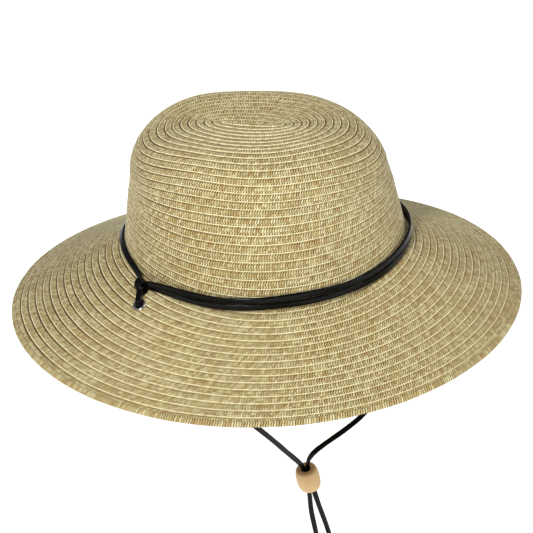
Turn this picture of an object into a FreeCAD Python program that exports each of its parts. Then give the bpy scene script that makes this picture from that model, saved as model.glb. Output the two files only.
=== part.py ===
import FreeCAD, Part
import math
import os

# A straw sun hat: one long braid sewn in a spiral makes the crown and the brim, a folded last row
# holds the brim wire, a cloth sweatband lines the crown, and one black lace, tied round the crown,
# goes down through two eyelets and hangs as a chin cord with a sliding wooden bead.
# Millimetres. The origin is the middle of the head opening, +Z is up, the brim's front points
# along -Y and the wearer's left side is +X. Angles go round the hat from +X towards +Y.

os.makedirs("parts", exist_ok=True)

# ---- straw ----
OPENING_HALF_WIDTH = 88.0   # crown base, outside, half across the head
OVAL_EXTRA = 11.0           # every oval of the hat is this much longer, half for half
STRAW = 2.0                 # thickness of the sewn braid
BASE_WAVE = 6.5             # the crown's base is lower by this at the sides, higher front and back
BASE_TILT = 2.0             # and this much lower at the back
BELOW_BASE = -20.0          # the crown's form starts here and is trimmed to the wavy base

# ---- crown ----
SIDE_TOP = 62.0             # height where the side turns into the shoulder
SIDE_FOOT = 9.0             # the side is upright up to here
SIDE_TAPER = 9.7            # the side leans in by this
SHOULDER_RUN = 34.0
CROWN_TOP = 92.0
TIP_DIP = 1.0               # the middle of the top is lower than its rim
TIP_HALF_WIDTH = 3.0        # the braid's flat start
CROWN_LEAN = 5.0            # the top stands this much towards the front

# ---- brim ----
BRIM_REACH = 81.5           # from the crown's base to the edge, seen from above
BRIM_DROP = 41.0
EDGE_WAVE = 3.6             # the edge is lower by this at the sides
EDGE_TILT = 3.0             # and higher by this on the wearer's left
EDGE_ROW = 6.0              # width of the folded last row
EVEN_REACH = 20.0           # out to here the brim is even; beyond it these three set in
FRONT_REACH = 3.0           # the brim's edge stands this much further out at the front
LEFT_LIFT = 1.5             # and this much higher on the wearer's left
REAR_CURL = 2.0             # and turns up this much at the back on the right
REAR_CURL_ANGLE = 128.0
REAR_CURL_SPREAD = 30.0
EDGE_THICK = 3.4
WIRE_RADIUS = 0.7
RING_POINTS = 24

# ---- sweatband ----
SWEATBAND_HEIGHT = 27.0
SWEATBAND_THICK = 1.0
SWEATBAND_GAP = 0.3
SWEATBAND_FOOT = 1.8        # its lower edge is this far above the brim

# ---- lace, eyelets, knots ----
LACE = 3.2                  # diameter of the plain round stand-in for the flat lace
BAND_THICK = 1.9            # the flat lace where it lies round the crown
BAND_WIDTH = 4.2
BAND_PITCH = 4.6            # the second turn lies this much above the first
BAND_PEEL = 7.0             # at the knots the turns stand this far off the crown
BAND_PEEL_SPREAD = 12.0     # degrees to each side of a knot
BAND_PEEL_FALL = 0.45       # and come down by this much of that, as the brim does
BAND_POINTS = 72
EYELET_ANGLE = -49.0        # the left eyelet; the right one is opposite
EYELET_REACH = 17.0         # from the crown's base
KNOT_ANGLE = -52.5          # the left knot; the right one is opposite
EYELET_BORE = 2.2
EYELET_BARREL = 2.7
EYELET_FLANGE = 4.5
FLANGE_THICK = 0.7
KNOT_REACH = 9.0
KNOT_LIFT = 5.5             # its middle stands this far over the brim
KNOT_HALF = (4.4, 4.0, 4.8)
SWING_DROP = 6.0            # the cord swings about a point this far under the brim's top face

# ---- bead and tails ----
BEAD_LENGTH = 20.0
BEAD_RADIUS = 9.2
BEAD_END_RADIUS = 7.4
BEAD_BORE = 3.75
LACE_GAP = 0.3
BEAD_TILT = 12.0            # degrees from upright, lower end towards the right eyelet
BEAD_MIDDLE = (32.6, -3.5, -224.2)
LACE_JOIN = 6.0             # the legs end and the tails start this far down the bead's bore
TAIL_KNOT_HALF = (3.3, 3.3, 4.2)

# The chin cord hangs close to the upright plane through both eyelets. Its points are given as
# distances along that plane from the hat's axis towards the right eyelet, out of the plane on the
# wearer's left and back, and up. Each leg starts at its eyelet and each tail at the bead.
LEFT_LEG = [(-97, 0, -42), (-80, 0, -72), (-59, 0, -101), (-38, 0, -127), (-18, 0, -150.5),
            (-0.5, -0.8, -173), (12.5, -2, -190.5), (23, -3.2, -204)]
RIGHT_LEG = [(112, 2, -42), (114, 7, -76), (111, 13, -110), (101, 18, -139), (88, 19.5, -160),
             (74, 17, -174), (59.8, 10.5, -185), (46.5, 2.8, -195), (36, -2, -202.5)]
LEFT_TAIL = [(34, -3.5, -256.5), (38, -3.5, -278.5), (41.2, -3.5, -298.5)]
RIGHT_TAIL = [(42.8, -3.5, -257.5), (49.8, -3.5, -280.5), (54.8, -3.5, -300.5)]


def vec(x, y, z):
    return FreeCAD.Vector(x, y, z)


def base_height(angle):
    return -BASE_WAVE * math.cos(2 * angle) - BASE_TILT * math.sin(angle)


def edge_height(angle):
    return -BRIM_DROP - EDGE_WAVE * math.cos(2 * angle) + EDGE_TILT * math.cos(angle)


def oval_point(angle, half_width, height):
    return vec(half_width * math.cos(angle), (half_width + OVAL_EXTRA) * math.sin(angle), height)


def brim_set(angle, reach):
    """How the worn-in brim leaves its even form at a point: further forward and up."""
    share = max(0.0, (reach - EVEN_REACH) / (BRIM_REACH - EVEN_REACH)) ** 2
    forward = FRONT_REACH * ((1 - math.sin(angle)) / 2) ** 2
    from_curl = (math.degrees(angle) - REAR_CURL_ANGLE + 180) % 360 - 180
    up = LEFT_LIFT * max(0.0, math.cos(angle)) ** 2
    up += REAR_CURL * math.exp(-(from_curl / REAR_CURL_SPREAD) ** 2)
    return vec(0, -forward * share, up * share)


def brim_point(angle, reach, depth=0.0):
    """A point of the brim's top face, or depth under it."""
    share = reach / BRIM_REACH
    height = base_height(angle) * (1 - share) + edge_height(angle) * share
    return oval_point(angle, OPENING_HALF_WIDTH + reach, height - depth) + brim_set(angle, reach)


def ring_through(point_at, count):
    """A smooth closed wire through the points that point_at gives round the hat."""
    curve = Part.BSplineCurve()
    points = [point_at(2 * math.pi * k / count) for k in range(count)]
    curve.interpolate(Points=points, PeriodicFlag=True)
    return Part.Wire([curve.toShape()])


def hoop(corners, count=RING_POINTS):
    """A closed hoop whose section has these corners, each given as a function of the angle."""
    rings = [ring_through(corner, count) for corner in corners]
    return Part.makeLoft(rings, True, True, True)


def brim_hoop(section):
    return hoop([lambda a, r=reach, d=depth: brim_point(a, r, d) for reach, depth in section])


def side_half_width(height):
    lean_in = max(0.0, height - SIDE_FOOT) / (SIDE_TOP - SIDE_FOOT)
    return OPENING_HALF_WIDTH - SIDE_TAPER * lean_in


def crown_ring(half_width, height):
    centre = vec(0, -CROWN_LEAN * max(0.0, height) / CROWN_TOP, height)
    ellipse = Part.Ellipse(centre + vec(0, half_width + OVAL_EXTRA, 0),
                           centre + vec(half_width, 0, 0), centre)
    return Part.Wire([ellipse.toShape()])


def crown_form(inset):
    """The crown as a solid form, inset by the given distance all over."""
    rings = [crown_ring(side_half_width(z) - inset, z) for z in (BELOW_BASE, SIDE_FOOT, SIDE_TOP)]
    shoulder_half_width = OPENING_HALF_WIDTH - SIDE_TAPER - SHOULDER_RUN
    rise = CROWN_TOP - SIDE_TOP - inset
    run = SHOULDER_RUN - inset
    for step in range(1, 7):
        turn = math.radians(15 * step)
        rings.append(crown_ring(shoulder_half_width + run * math.cos(turn), SIDE_TOP + rise * math.sin(turn)))
    for share in (0.8, 0.6, 0.4, 0.2, TIP_HALF_WIDTH / shoulder_half_width):
        dip = TIP_DIP * (1 - share * share) ** 2
        rings.append(crown_ring(shoulder_half_width * share, CROWN_TOP - inset - dip))
    return Part.makeLoft(rings, True, True)


def make_crown():
    shell = crown_form(0.0).cut(crown_form(STRAW))
    inner, outer, deep = -12.0, 8.0, 30.0
    below_brim_face = brim_hoop([(inner, 0), (outer, 0), (outer, deep), (inner, deep)])
    return shell.cut(below_brim_face)


def make_brim(eyelet_frames):
    row_start = BRIM_REACH - EDGE_ROW
    reaches = (-STRAW, EVEN_REACH, (EVEN_REACH + row_start) / 2, row_start)
    brim = brim_hoop([(reach, 0) for reach in reaches] + [(reach, STRAW) for reach in reversed(reaches)])
    for frame in eyelet_frames:
        brim = brim.cut(placed(Part.makeCylinder(EYELET_BARREL, 20, vec(0, 0, -10)), frame))
    return brim


def wire_section(radius):
    reach = BRIM_REACH - EDGE_ROW / 2
    depth = STRAW / 2
    return [(reach + radius * math.cos(k * math.pi / 4), depth - radius * math.sin(k * math.pi / 4))
            for k in range(8)]


def make_edge_row():
    above = (EDGE_THICK - STRAW) / 2
    low = STRAW + above
    start = BRIM_REACH - EDGE_ROW
    fold = 0.7
    row = brim_hoop([(start, -above), (BRIM_REACH - fold, -above), (BRIM_REACH, fold),
                     (BRIM_REACH, STRAW - fold), (BRIM_REACH - fold, low), (start, low)])
    return row.cut(brim_hoop(wire_section(WIRE_RADIUS)))


def make_sweatband():
    outer = STRAW + SWEATBAND_GAP
    inner = outer + SWEATBAND_THICK
    rows = (0.0, SWEATBAND_HEIGHT / 2, SWEATBAND_HEIGHT)

    def corner(inset, height):
        def point(angle):
            z = base_height(angle) * (1 - height / SIDE_TOP) + SWEATBAND_FOOT + height
            shift = vec(0, -CROWN_LEAN * max(0.0, z) / CROWN_TOP, 0)
            return oval_point(angle, side_half_width(z) - inset, z) + shift
        return point
    corners = [corner(outer, z) for z in rows] + [corner(inner, z) for z in reversed(rows)]
    return hoop(corners)


def band_turn(height):
    """One full turn of the flat lace round the crown's foot."""
    near = 0.35
    far = near + BAND_THICK
    edge = 0.6
    section = [(near, 0), (far - edge, 0), (far, edge), (far, BAND_WIDTH - edge),
               (far - edge, BAND_WIDTH), (near, BAND_WIDTH)]

    def corner(out, up):
        def point(angle):
            from_knot = math.degrees((angle - LEFT_KNOT_ANGLE + math.pi / 2) % math.pi) - 90
            peel = BAND_PEEL * math.exp(-(from_knot / BAND_PEEL_SPREAD) ** 2)
            z = base_height(angle) + height + up - BAND_PEEL_FALL * peel
            shift = vec(0, -CROWN_LEAN * max(0.0, z) / CROWN_TOP, 0)
            return oval_point(angle, side_half_width(z) + out + peel, z) + shift
        return point
    return hoop([corner(out, up) for out, up in section], BAND_POINTS)


def brim_frame(angle, reach):
    """A placement on the brim's top face with its Z along the face's outward normal."""
    step = 0.01
    here = brim_point(angle, reach)
    along = brim_point(angle + step, reach) - brim_point(angle - step, reach)
    outward = brim_point(angle, reach + step) - brim_point(angle, reach - step)
    normal = outward.cross(along)
    normal.normalize()
    return FreeCAD.Placement(here, FreeCAD.Rotation(vec(0, 0, 1), normal))


def placed(shape, frame):
    return shape.transformGeometry(frame.toMatrix())


def turned(profile):
    """The solid that the closed profile of (radius, height) points makes round Z."""
    points = [vec(radius, 0, height) for radius, height in profile]
    face = Part.Face(Part.makePolygon(points + [points[0]]))
    return face.revolve(vec(0, 0, 0), vec(0, 0, 1), 360)


def make_eyelet():
    foot = -STRAW - FLANGE_THICK
    return turned([(EYELET_BORE, foot), (EYELET_BARREL, foot), (EYELET_BARREL, 0), (EYELET_FLANGE, 0),
                   (EYELET_FLANGE - 0.3, 0.4), (EYELET_BARREL + 0.5, FLANGE_THICK),
                   (EYELET_BORE + 0.2, FLANGE_THICK - 0.2), (EYELET_BORE, 0.2)])


def make_washer():
    top = -STRAW
    low = top - FLANGE_THICK
    return turned([(EYELET_BARREL, top), (EYELET_FLANGE, top), (EYELET_FLANGE - 0.4, low + 0.2),
                   (EYELET_BARREL + 0.3, low), (EYELET_BARREL, low)])


def ball(half_sizes, centre, turn=None):
    """An ellipsoid with these half sizes."""
    matrix = FreeCAD.Matrix()
    matrix.scale(vec(*half_sizes))
    shape = Part.makeSphere(1.0).transformGeometry(matrix)
    return placed(shape, FreeCAD.Placement(centre, turn or FreeCAD.Rotation()))


def tube(name, route, diameter):
    """A tube along straight runs joined by tangent arcs, each as large as its two runs allow."""
    edges = []
    start = route[0]
    radii = []
    for before, here, after in zip(route, route[1:], route[2:]):
        back = before - here
        ahead = after - here
        half_turn = (math.pi - back.getAngle(ahead)) / 2
        reach = 0.45 * min(back.Length, ahead.Length)
        radii.append(reach / math.tan(half_turn))
        back.normalize()
        ahead.normalize()
        enter = here + back * reach
        leave = here + ahead * reach
        bisector = back + ahead
        bisector.normalize()
        to_centre = radii[-1] / math.cos(half_turn)
        middle = here + bisector * (to_centre - radii[-1])
        edges.append(Part.LineSegment(start, enter).toShape())
        edges.append(Part.Arc(enter, middle, leave).toShape())
        start = leave
    edges.append(Part.LineSegment(start, route[-1]).toShape())
    path = Part.Wire(edges)
    mouth = Part.Wire([Part.makeCircle(diameter / 2, route[0], route[1] - route[0])])
    solid = path.makePipeShell([mouth], True, False)
    volume = math.pi * diameter * diameter / 4 * path.Length
    print(f"{name}: length {path.Length:.0f}, radii {[round(r) for r in radii]}, "
          f"volume {solid.Volume:.0f} of {volume:.0f}")
    return solid


def cord_point(along, aside, height):
    return ALONG * along + ASIDE * aside + vec(0, 0, height)


def bead_point(down, across):
    """A point beside the bead's axis, measured down it from its top and across it."""
    tilt = math.radians(BEAD_TILT)
    axis = ALONG * math.sin(tilt) + vec(0, 0, -math.cos(tilt))
    side = ALONG * math.cos(tilt) + vec(0, 0, math.sin(tilt))
    return cord_point(*BEAD_MIDDLE) + axis * (down - BEAD_LENGTH / 2) + side * across


def make_leg(name, pivot, route, across):
    """A leg of the chin cord, round-ended at its pivot, down into the bead."""
    entry = 3.0
    points = [pivot] + [cord_point(*p) for p in route]
    points += [bead_point(-entry, across), bead_point(LACE_JOIN, across)]
    return tube(name, points, LACE).fuse(Part.makeSphere(LACE / 2, pivot)).removeSplitter()


def make_tail(name, route, across):
    exit_drop = 2.0
    points = [bead_point(LACE_JOIN, across), bead_point(BEAD_LENGTH + exit_drop, across)]
    points += [cord_point(*p) for p in route]
    knot = ball(TAIL_KNOT_HALF, points[-1])
    return tube(name, points, LACE).cut(knot), knot


def make_bead():
    half = BEAD_LENGTH / 2
    corner = 1.2
    outline = [(BEAD_BORE, -half), (BEAD_END_RADIUS - corner, -half), (BEAD_END_RADIUS, -half + 0.4),
               (BEAD_RADIUS * 0.93, -half * 0.55), (BEAD_RADIUS, -half * 0.2),
               (BEAD_RADIUS, half * 0.2), (BEAD_RADIUS * 0.93, half * 0.55),
               (BEAD_END_RADIUS, half - 0.4), (BEAD_END_RADIUS - corner, half), (BEAD_BORE, half)]
    axis = bead_point(0, 0) - bead_point(BEAD_LENGTH, 0)
    return placed(turned(outline), FreeCAD.Placement(cord_point(*BEAD_MIDDLE),
                                                     FreeCAD.Rotation(vec(0, 0, 1), axis)))


def knot_centre(angle):
    return brim_point(angle, KNOT_REACH) + vec(0, 0, KNOT_LIFT)


def make_knot(angle):
    return ball(KNOT_HALF, knot_centre(angle), FreeCAD.Rotation(vec(0, 0, 1), math.degrees(angle)))


def make_riser(name, knot_angle, frame, knot):
    """The lace from just above its pivot, up through the eyelet and over to the knot."""
    clearance = LACE / 2 + LACE_GAP
    above_eyelet = 4.5
    foot = frame.multVec(vec(0, 0, clearance - SWING_DROP))
    bend = frame.multVec(vec(0, 0, above_eyelet))
    return tube(name, [foot, bend, knot_centre(knot_angle)], LACE).cut(knot)


def half_of(turn, side):
    """The half of a turn on one side of the knots' upright plane, 1 for the wearer's left."""
    size = 400.0
    between_knots = knot_centre(RIGHT_KNOT_ANGLE) - knot_centre(LEFT_KNOT_ANGLE)
    across = between_knots.cross(vec(0, 0, 1)) * side
    block = Part.makeBox(size, size, size, vec(-size / 2, 0, -size / 2))
    frame = FreeCAD.Placement(vec(0, 0, 0), FreeCAD.Rotation(vec(0, 1, 0), across))
    return turn.common(placed(block, frame))


LEFT_ANGLE = math.radians(EYELET_ANGLE)
RIGHT_ANGLE = LEFT_ANGLE + math.pi
LEFT_KNOT_ANGLE = math.radians(KNOT_ANGLE)
RIGHT_KNOT_ANGLE = LEFT_KNOT_ANGLE + math.pi
LEFT_FRAME = brim_frame(LEFT_ANGLE, EYELET_REACH)
RIGHT_FRAME = brim_frame(RIGHT_ANGLE, EYELET_REACH)
LEFT_PIVOT = LEFT_FRAME.multVec(vec(0, 0, -SWING_DROP))
RIGHT_PIVOT = RIGHT_FRAME.multVec(vec(0, 0, -SWING_DROP))
ALONG = vec(RIGHT_PIVOT.x - LEFT_PIVOT.x, RIGHT_PIVOT.y - LEFT_PIVOT.y, 0)
ALONG.normalize()
ASIDE = ALONG.cross(vec(0, 0, 1))


def main():
    lace_offset = (LACE + LACE_GAP) / 2
    left_knot = make_knot(LEFT_KNOT_ANGLE)
    right_knot = make_knot(RIGHT_KNOT_ANGLE)
    left_tail, left_end = make_tail("chin_tail_left", LEFT_TAIL, -lace_offset)
    right_tail, right_end = make_tail("chin_tail_right", RIGHT_TAIL, lace_offset)
    low_turn = band_turn(0.8).cut(left_knot).cut(right_knot)
    high_turn = band_turn(0.8 + BAND_PITCH).cut(left_knot).cut(right_knot)
    parts = {
        "crown_braid": make_crown(),
        "brim_braid": make_brim([LEFT_FRAME, RIGHT_FRAME]),
        "brim_edge_braid": make_edge_row(),
        "brim_edge_wire": brim_hoop(wire_section(WIRE_RADIUS - 0.05)),
        "sweatband": make_sweatband(),
        "hatband_lower": half_of(low_turn, 1),
        "hatband_upper": half_of(high_turn, 1),
        "hatband_back": half_of(low_turn, -1),
        "hatband_knot_left": left_knot,
        "hatband_knot_right": right_knot,
        "eyelet_left": placed(make_eyelet(), LEFT_FRAME),
        "eyelet_right": placed(make_eyelet(), RIGHT_FRAME),
        "eyelet_washer_left": placed(make_washer(), LEFT_FRAME),
        "eyelet_washer_right": placed(make_washer(), RIGHT_FRAME),
        "lace_riser_left": make_riser("lace_riser_left", LEFT_KNOT_ANGLE, LEFT_FRAME, left_knot),
        "lace_riser_right": make_riser("lace_riser_right", RIGHT_KNOT_ANGLE, RIGHT_FRAME, right_knot),
        "chin_leg_left": make_leg("chin_leg_left", LEFT_PIVOT, LEFT_LEG, -lace_offset),
        "chin_leg_right": make_leg("chin_leg_right", RIGHT_PIVOT, RIGHT_LEG, lace_offset),
        "chin_tail_left": left_tail,
        "chin_tail_right": right_tail,
        "tail_knot_left": left_end,
        "tail_knot_right": right_end,
        "wood_bead": make_bead(),
    }
    for name, shape in parts.items():
        shape.exportStep(f"parts/{name}.step")
    print("pivots", LEFT_PIVOT, RIGHT_PIVOT)
    print("bead axis, top to bottom", bead_point(0, 0), bead_point(BEAD_LENGTH, 0))
    return parts


PARTS = main()
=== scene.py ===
import math

import bpy
import numpy as np
from mathutils import Matrix


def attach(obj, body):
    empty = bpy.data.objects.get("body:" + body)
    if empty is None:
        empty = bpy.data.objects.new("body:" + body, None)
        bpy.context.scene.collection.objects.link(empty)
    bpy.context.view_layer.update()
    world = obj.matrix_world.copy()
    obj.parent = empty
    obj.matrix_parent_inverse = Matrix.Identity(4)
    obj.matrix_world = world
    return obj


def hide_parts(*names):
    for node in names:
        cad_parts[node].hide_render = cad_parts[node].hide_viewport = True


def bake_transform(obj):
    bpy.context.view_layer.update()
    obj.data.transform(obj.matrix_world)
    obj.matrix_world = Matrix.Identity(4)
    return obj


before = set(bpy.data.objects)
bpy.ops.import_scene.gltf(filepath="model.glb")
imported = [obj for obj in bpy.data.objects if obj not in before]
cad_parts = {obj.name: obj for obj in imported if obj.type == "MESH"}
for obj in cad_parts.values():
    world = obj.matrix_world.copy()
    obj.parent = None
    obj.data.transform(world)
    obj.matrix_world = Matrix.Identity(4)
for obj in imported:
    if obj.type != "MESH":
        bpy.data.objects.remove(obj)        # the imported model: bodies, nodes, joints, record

# A straw sun hat: a spiral of sewn paper braid, a folded brim edge, a black lace round the crown
# that goes down through two eyelets, and a chin cord with a sliding wooden bead.
# Shapes are worked out in millimetres in the hat's frame and turned into metres where a mesh is made.

MM = 0.001
TURN = 2.0 * math.pi
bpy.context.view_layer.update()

# ---- the hat's form, as in the CAD source unless a comment says otherwise ----
OPENING_HALF_WIDTH = 88.0
OVAL_EXTRA = 11.0
BASE_WAVE, BASE_TILT = 6.5, 2.0
SIDE_TOP, SIDE_FOOT, SIDE_TAPER = 62.0, 9.0, 9.7
SHOULDER_RUN, CROWN_TOP, TIP_DIP = 34.0, 92.0, 1.0
# The worn crown is the scene's own: it leans 2 mm less than the CAD's, its top is longer than the
# sides and further forward, and the top swells and falls.
CROWN_LEAN = 3.0
TOP_EXTRA, TOP_FORWARD = 7.6, 3.1
TOP_TURN, TOP_TURN_START = 8.0, -6.0        # degrees; the top's rows are turned a little
FRONT_SWELL, FRONT_FALL, REAR_FALL = 3.9, 4.8, 3.3
BRIM_REACH, BRIM_DROP = 81.5, 41.0
EDGE_WAVE, EDGE_TILT = 3.6, 3.0
EDGE_ROW = 6.0
EVEN_REACH, FRONT_REACH, LEFT_LIFT = 20.0, 3.0, 1.5
REAR_CURL, REAR_CURL_ANGLE, REAR_CURL_SPREAD = 2.0, math.radians(128.0), math.radians(30.0)
EYELET_ANGLE = math.radians(-49.0)
EYELET_REACH = 17.0
KNOT_ANGLE = math.radians(-52.5)
KNOT_REACH = 9.0
KNOT_LIFT = 4.3             # 1.2 mm lower than in the CAD
TOP_HALF_WIDTH = OPENING_HALF_WIDTH - SIDE_TAPER - SHOULDER_RUN

# ---- how the braid runs down the profile, from the tip to the brim's edge ----
TOP_LENGTH = 44.7
SHOULDER_LENGTH = 50.4
CREASE = TOP_LENGTH + SHOULDER_LENGTH + SIDE_TOP
REACH_PER_LENGTH = 0.919
ROW_PITCH = 5.5
ROW_HALF = 3.45             # half the braid's width; the rows overlap
ROW_STEP = 0.95
COLUMN_STEP = 1.4
FOLD_RIB, FOLD_SLANT = 1.7, 1.4
BRIM_END = CREASE + (BRIM_REACH - EDGE_ROW) / REACH_PER_LENGTH
SPIRAL_START = -2.3         # before 0, so that the first turn closes the middle
SPLIT_TURN = 0.36           # the crown's braid hands over to the brim's here, behind the crown

# The braid's cross-section: (across, out) pairs on its outer face from the covered edge to the
# beaded edge that lies on the next row, then back along its inner face.
ROW_OUTER = [(-3.45, -0.35), (-3.2, 0.0), (-2.0, 0.02), (-0.6, 0.10), (0.9, 0.10), (2.15, -0.02),
             (2.5, -0.20), (2.85, 0.04), (3.2, 0.02), (3.45, -0.30)]
ROW_INNER = [(3.38, -1.0), (0.0, -1.0), (-3.38, -1.0)]


# ------------------------------------------------------------------ form
def base_height(angle):
    return -BASE_WAVE * np.cos(2 * angle) - BASE_TILT * np.sin(angle)


def edge_height(angle):
    return -BRIM_DROP - EDGE_WAVE * np.cos(2 * angle) + EDGE_TILT * np.cos(angle)


def wrapped(angle):
    return (angle + math.pi) % TURN - math.pi


def brim_set(angle, reach):
    """How far forward and up the worn-in brim stands from its even form."""
    share = np.maximum(0.0, (reach - EVEN_REACH) / (BRIM_REACH - EVEN_REACH)) ** 2
    forward = FRONT_REACH * ((1 - np.sin(angle)) / 2) ** 2
    curl = np.exp(-(wrapped(angle - REAR_CURL_ANGLE) / REAR_CURL_SPREAD) ** 2)
    up = LEFT_LIFT * np.maximum(0.0, np.cos(angle)) ** 2 + REAR_CURL * curl
    return forward * share, up * share


def oval(angle, half_width, height):
    return np.stack([half_width * np.cos(angle), (half_width + OVAL_EXTRA) * np.sin(angle),
                     height + 0.0 * angle], axis=-1)


def leaned(points):
    points[..., 1] -= CROWN_LEAN * np.maximum(0.0, points[..., 2]) / CROWN_TOP
    return points


def worn_top(points, angle, length):
    """Gives the crown's top its own length and place, a slight turn and an uneven height."""
    share = np.clip(length / TOP_LENGTH, 0, 1)
    full = np.cos(math.pi / 2 * np.clip((length - TOP_LENGTH) / SHOULDER_LENGTH, 0, 1)) ** 2
    askew = np.radians(TOP_TURN * share + TOP_TURN_START) * full
    x = points[..., 0]
    y = points[..., 1] + TOP_EXTRA * full * np.sin(angle)
    points[..., 0] = x * np.cos(askew) - y * np.sin(askew)
    points[..., 1] = x * np.sin(askew) + y * np.cos(askew) - TOP_FORWARD * full
    y = points[..., 1]
    front_swell = FRONT_SWELL * np.exp(-((y + 56.0) / 44.0) ** 2)
    front_fall = FRONT_FALL * np.clip((-y - 35.0) / 40.0, 0, 2) ** 2
    rear_fall = REAR_FALL * np.clip((y - 25.0) / 35.0, 0, 2) ** 2
    on_top = np.clip((points[..., 2] - 45.0) / 35.0, 0, 1)
    points[..., 2] += on_top * (front_swell - front_fall - rear_fall)
    return points


def side_half_width(height):
    return OPENING_HALF_WIDTH - SIDE_TAPER * np.maximum(0.0, height - SIDE_FOOT) / (SIDE_TOP - SIDE_FOOT)


def brim_point(angle, reach, lift=0.0):
    angle = np.asarray(angle, float)
    share = reach / BRIM_REACH
    forward, up = brim_set(angle, reach)
    height = base_height(angle) * (1 - share) + edge_height(angle) * share
    points = oval(angle, OPENING_HALF_WIDTH + reach, height + up + lift)
    points[..., 1] -= forward
    return points


def hat_surface(angle, length):
    """The hat's outer face: round the hat by the angle, down the profile by the length."""
    angle, length = np.broadcast_arrays(np.asarray(angle, float), np.asarray(length, float))
    share = np.clip(length / TOP_LENGTH, 0, 1)
    half_width = TOP_HALF_WIDTH * share
    height = CROWN_TOP - TIP_DIP * (1 - share ** 2) ** 2
    bend = math.pi / 2 * (1 - np.clip((length - TOP_LENGTH) / SHOULDER_LENGTH, 0, 1))
    on_shoulder = length > TOP_LENGTH
    half_width = np.where(on_shoulder, TOP_HALF_WIDTH + SHOULDER_RUN * np.cos(bend), half_width)
    height = np.where(on_shoulder, SIDE_TOP + (CROWN_TOP - SIDE_TOP) * np.sin(bend), height)
    up_side = SIDE_TOP * (1 - np.clip((length - TOP_LENGTH - SHOULDER_LENGTH) / SIDE_TOP, 0, 1))
    side_height = up_side + base_height(angle) * (1 - up_side / SIDE_TOP)
    on_side = length > TOP_LENGTH + SHOULDER_LENGTH
    half_width = np.where(on_side, side_half_width(side_height), half_width)
    height = np.where(on_side, side_height, height)
    crown = worn_top(leaned(oval(angle, half_width, height)), angle, length)
    reach = np.maximum(0.0, (length - CREASE) * REACH_PER_LENGTH)
    return np.where((length > CREASE)[..., None], brim_point(angle, reach), crown)


def unit(vectors):
    return vectors / np.maximum(np.linalg.norm(vectors, axis=-1, keepdims=True), 1e-9)


def lengths_along(line):
    """How far along the line each of its points is."""
    return np.concatenate([[0], np.cumsum(np.linalg.norm(np.diff(line, axis=0), axis=1))])


def wander(along, spacing, amount, seed):
    """A smooth random value along a length, with a new knot each spacing."""
    source = np.random.RandomState(seed)
    knots = source.uniform(-amount, amount, int(along.max() / spacing) + 4)
    place = along / spacing
    low = place.astype(int)
    part = place - low
    part = part * part * (3 - 2 * part)
    return knots[low] * (1 - part) + knots[low + 1] * part


# ------------------------------------------------------------------ meshes
def make_object(name, points_mm, faces, uv=None, smooth_angle=45.0):
    """A mesh object in metres; uv holds one pair per vertex and gives the layer 'braid'."""
    mesh = bpy.data.meshes.new(name)
    flat = np.asarray(points_mm, float) * MM
    mesh.from_pydata([tuple(p) for p in flat], [], faces)
    mesh.update(calc_edges=True)
    mesh.validate()
    if uv is not None:
        layer = mesh.uv_layers.new(name="braid")
        order = np.zeros(len(mesh.loops), np.int32)
        mesh.loops.foreach_get("vertex_index", order)
        layer.data.foreach_set("uv", np.asarray(uv, np.float32)[order].ravel())
    mesh.polygons.foreach_set("use_smooth", np.ones(len(mesh.polygons), bool))
    mesh.set_sharp_from_angle(angle=math.radians(smooth_angle))
    piece = bpy.data.objects.new(name, mesh)
    bpy.context.scene.collection.objects.link(piece)
    return piece


def grid_faces(rings, ring_size, closed_path):
    """Quads between neighbouring rings of points. Each ring closes on itself, and closed_path
    joins the last ring to the first."""
    ring = np.arange(rings if closed_path else rings - 1)
    step = np.arange(ring_size)
    a = ring[:, None] * ring_size + step
    b = ring[:, None] * ring_size + (step + 1) % ring_size
    onward = ((ring + 1) % rings)[:, None] * ring_size
    return np.stack([a, b, onward + (step + 1) % ring_size, onward + step], axis=-1).reshape(-1, 4)


def skin(name, rings, uv=None, closed_path=False, smooth_angle=45.0):
    """A closed skin over an array of rings (rings, points, 3). An open row of rings gets caps."""
    count, size, _ = rings.shape
    faces = grid_faces(count, size, closed_path).tolist()
    if not closed_path:
        faces.append(list(range(size))[::-1])
        faces.append([(count - 1) * size + i for i in range(size)])
    points = rings.reshape(-1, 3)
    layer = None if uv is None else uv.reshape(-1, 2)
    return outward(make_object(name, points, faces, layer, smooth_angle))


def outward(piece):
    """Turns the faces out if the closed mesh is inside out."""
    mesh = piece.data
    mesh.calc_loop_triangles()
    corners = np.zeros(len(mesh.loop_triangles) * 3, np.int32)
    mesh.loop_triangles.foreach_get("vertices", corners)
    places = np.zeros(len(mesh.vertices) * 3, np.float32)
    mesh.vertices.foreach_get("co", places)
    a, b, c = places.reshape(-1, 3).astype(float)[corners.reshape(-1, 3)].transpose(1, 0, 2)
    if np.einsum("ij,ij->i", a, np.cross(b, c)).sum() < 0:
        mesh.flip_normals()
    return piece


def joined(name, pieces):
    """One object from several."""
    with bpy.context.temp_override(active_object=pieces[0], object=pieces[0],
                                   selected_objects=pieces, selected_editable_objects=pieces):
        bpy.ops.object.join()
    pieces[0].name = name
    return pieces[0]


def spread_evenly(line, step):
    """The line's points again, about a step apart."""
    along = lengths_along(line)
    at = np.linspace(0, along[-1], max(3, int(along[-1] / step) + 1))
    return np.stack([np.interp(at, along, line[:, k]) for k in range(3)], axis=1), at


def rounded_section(half_width, half_thick, count=16, power=3.2):
    """A closed flat section with round edges, as (across, out) pairs."""
    turn = np.arange(count) / count * TURN
    across = half_width * np.sign(np.cos(turn)) * np.abs(np.cos(turn)) ** (2 / power)
    out = half_thick * np.sign(np.sin(turn)) * np.abs(np.sin(turn)) ** (2 / power)
    return np.stack([across, out], axis=-1)


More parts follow.
